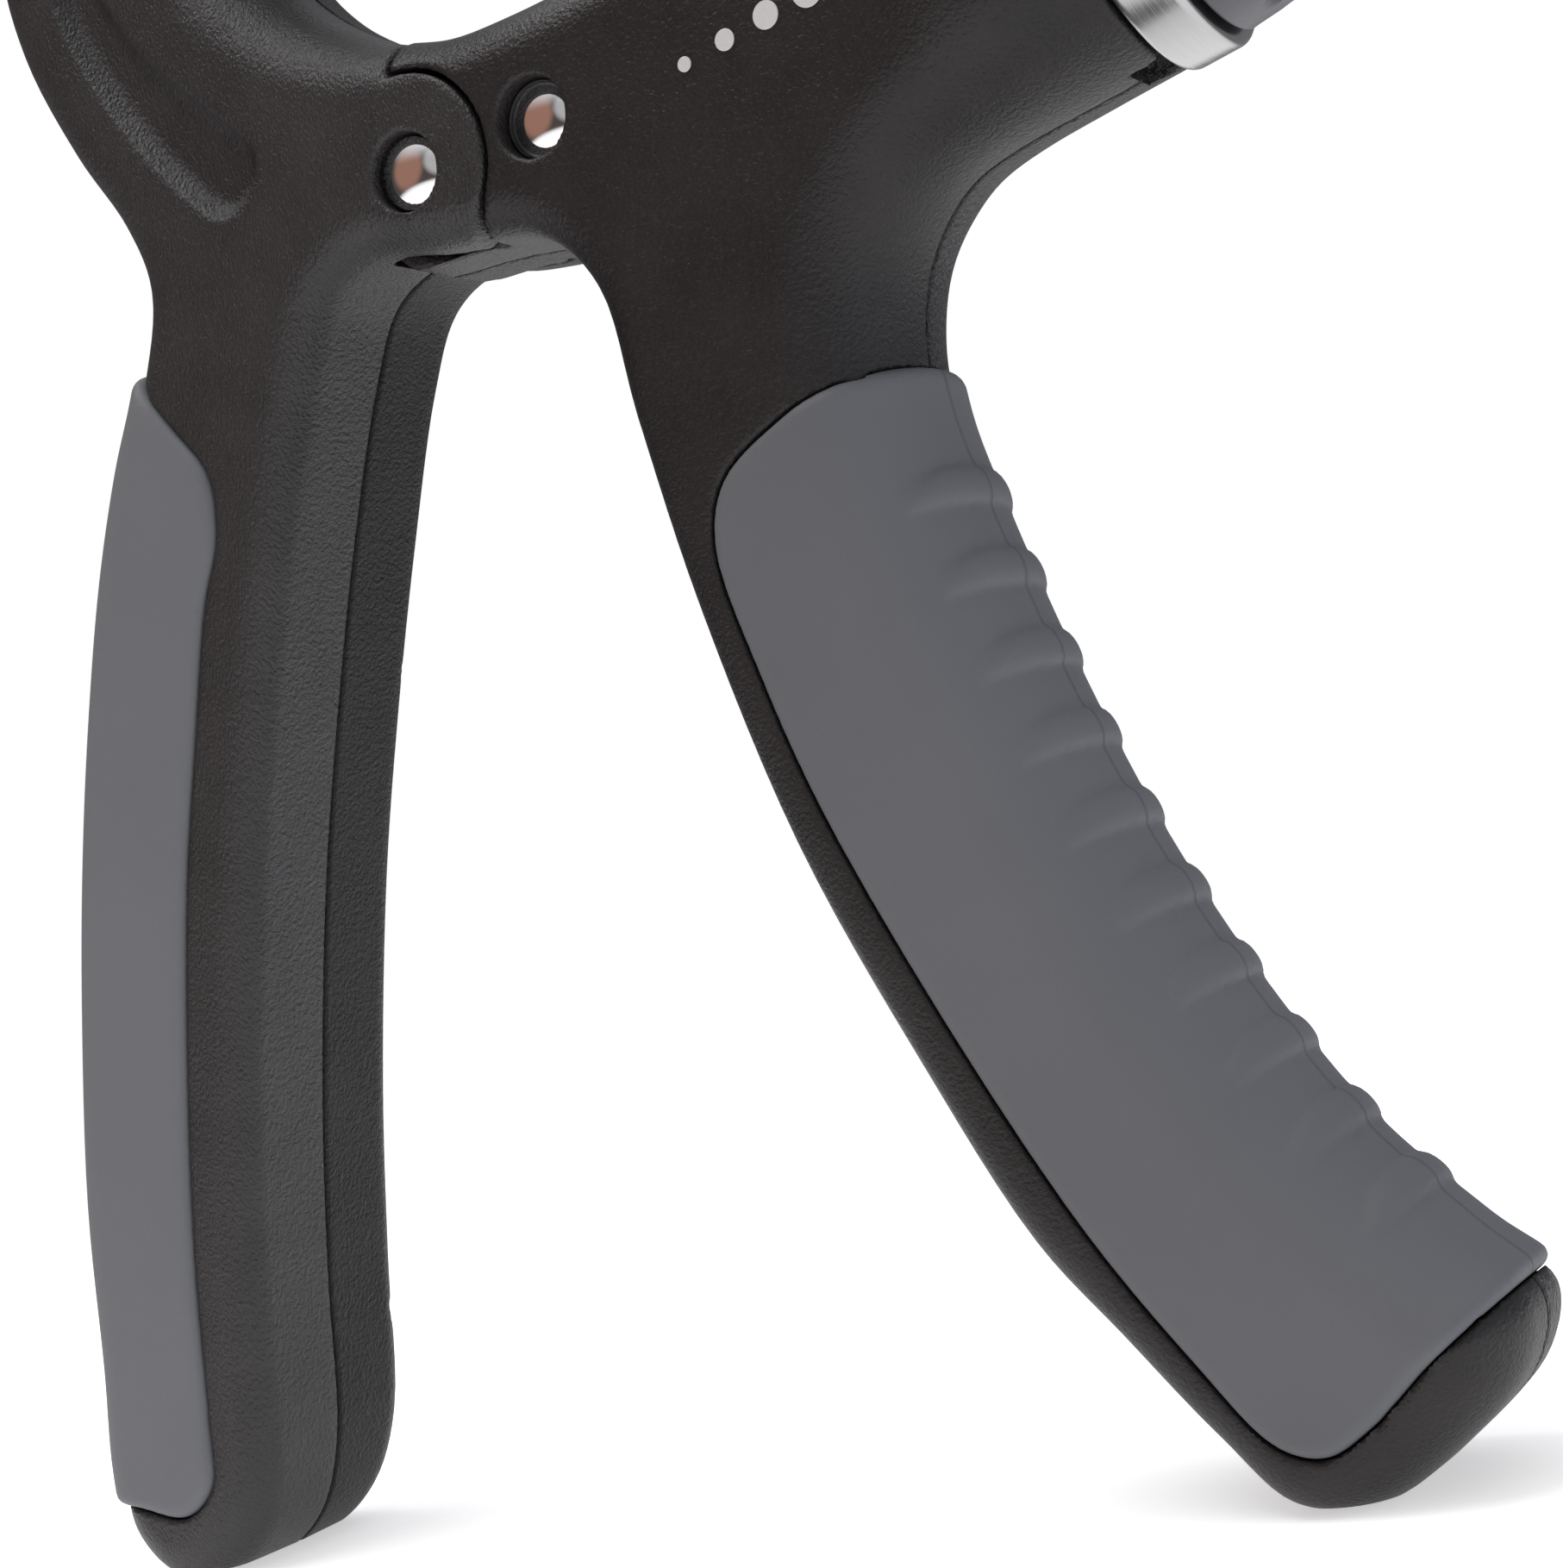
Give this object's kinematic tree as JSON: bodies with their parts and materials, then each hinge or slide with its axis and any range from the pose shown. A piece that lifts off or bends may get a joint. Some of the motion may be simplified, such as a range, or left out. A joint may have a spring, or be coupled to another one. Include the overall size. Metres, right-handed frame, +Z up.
{
  "type": "hand grip strengthener",
  "caption": "Adjustable hand grip strengthener: two curved rubber-faced handles on one pivot, an extension spring between their arms, and a knob with a screw that moves the spring's end.",
  "frame": {"origin": "on the floor under the middle of the bounding box, with both handle ends standing on Z = 0", "axes": "+Z up, +X towards the adjusting knob, +Y from the front face with the recessed rivet heads to the back"},
  "size_m": [0.1444, 0.029, 0.1691],
  "materials": {
    "body_plastic": "matte charcoal black with a fine moulded grain",
    "grip_rubber": "matte mid-grey thermoplastic rubber",
    "rivet_chrome": "polished",
    "spring_steel": "bright plated wire",
    "ring_metal": "satin turned",
    "knob_plastic": "satin blue-grey",
    "bright_steel": "machined",
    "dark_steel": "blackened",
    "nut_brass": "machined",
    "bearing_nylon": "natural nylon",
    "scale_print": "printed row of light grey dots that grow along the arm"
  },
  "bodies": {
    "frame": {"frame_front_shell": "body_plastic", "frame_rear_shell": "body_plastic", "frame_grip": "grip_rubber", "pivot_rivet": "rivet_chrome", "pivot_rivet_cap": "rivet_chrome", "pivot_bushing": "bearing_nylon", "pivot_washer_front": "bearing_nylon", "pivot_washer_rear": "bearing_nylon", "frame_rivet": "rivet_chrome", "frame_rivet_cap": "rivet_chrome", "screw_end_bushing": "bearing_nylon", "screw_bearing": "bearing_nylon", "collar_ring": "ring_metal", "scale_strip": "scale_print", "frame_screw_1": "dark_steel", "frame_screw_2": "dark_steel", "frame_screw_3": "dark_steel"},
    "lever": {"lever_front_shell": "body_plastic", "lever_rear_shell": "body_plastic", "lever_grip": "grip_rubber", "spring_anchor_pin": "bright_steel", "spring_anchor_bush": "bearing_nylon", "main_spring": "spring_steel", "lever_screw_1": "dark_steel", "lever_screw_2": "dark_steel", "lever_screw_3": "dark_steel"},
    "knob": {"adjusting_screw": "bright_steel", "screw_clip": "dark_steel", "thrust_washer": "bright_steel", "knob_hub": "dark_steel", "knob_sleeve": "knob_plastic", "knob_cap": "knob_plastic", "knob_cross_pin": "bright_steel"},
    "nut": {"travelling_nut": "nut_brass", "nut_hook_pin": "bright_steel"}
  },
  "joints": [
    {"name": "handle_pivot", "type": "hinge", "parent": "frame", "child": "lever", "pos_m": [-0.01142, 0, 0.1143], "axis": [0, -1, 0], "range_deg": [0, 36], "stiffness_Nm_per_rad": 12, "springref_deg": -14.32, "deforming": ["main_spring"]},
    {"name": "knob_turn", "type": "hinge", "parent": "frame", "child": "knob", "pos_m": [0.04867, 0, 0.11872], "axis": [-0.9848, 0, -0.1736], "range_deg": [-1260, 1620]},
    {"name": "nut_travel", "type": "slide", "parent": "frame", "child": "nut", "axis": [0.9848, 0, 0.1736], "range_m": [-0.007, 0.009]}
  ],
  "couplings": [
    {"joint": "nut_travel", "follows": "knob_turn", "m_per_rad": 0.00031831}
  ]
}
